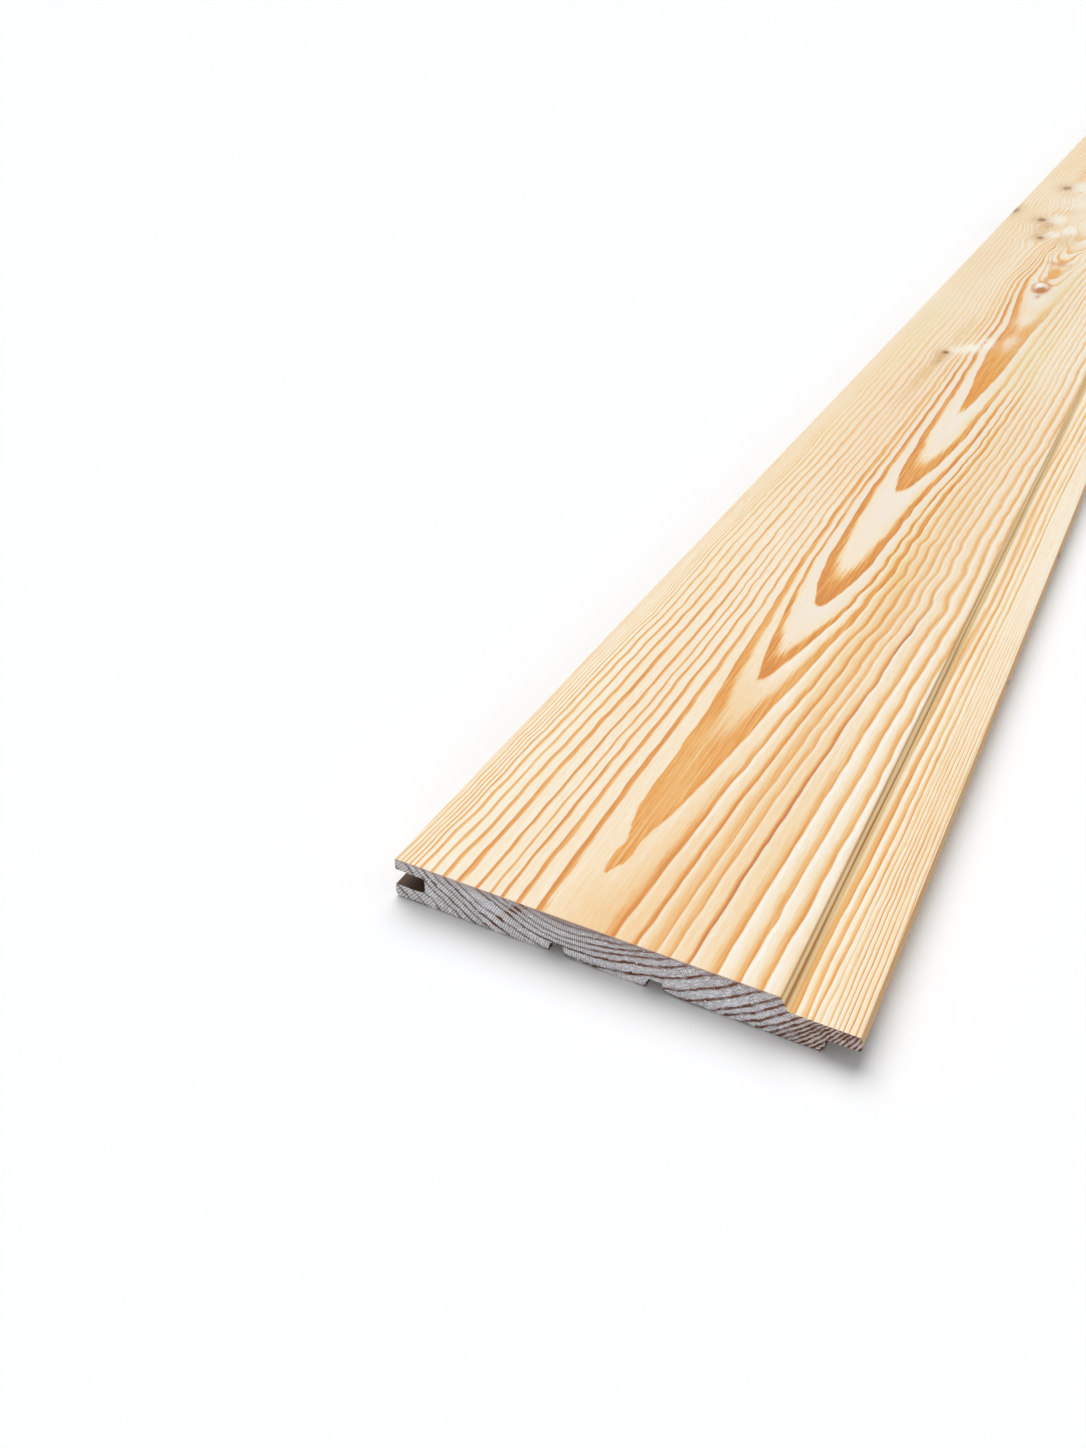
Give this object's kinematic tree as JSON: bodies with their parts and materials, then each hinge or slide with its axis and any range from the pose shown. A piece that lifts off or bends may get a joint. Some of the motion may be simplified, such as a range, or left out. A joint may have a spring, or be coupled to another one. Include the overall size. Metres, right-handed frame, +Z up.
{
  "type": "tongue and groove board",
  "caption": "Planed softwood wall and ceiling board with a grooved edge, a tongue beyond a sloped shadow-gap shoulder, and two relief slots underneath.",
  "frame": {"origin": "middle of the underside's bounding rectangle, half way along the length and half way across the full width with the tongue", "axes": "+X along the length, -Y at the groove edge, +Y at the tongue edge, +Z up out of the planed face"},
  "size_m": [2.4, 0.12, 0.012],
  "materials": {
    "pine": "planed face, sawn ends"
  },
  "bodies": {
    "root": {"board": "pine"}
  },
  "joints": []
}
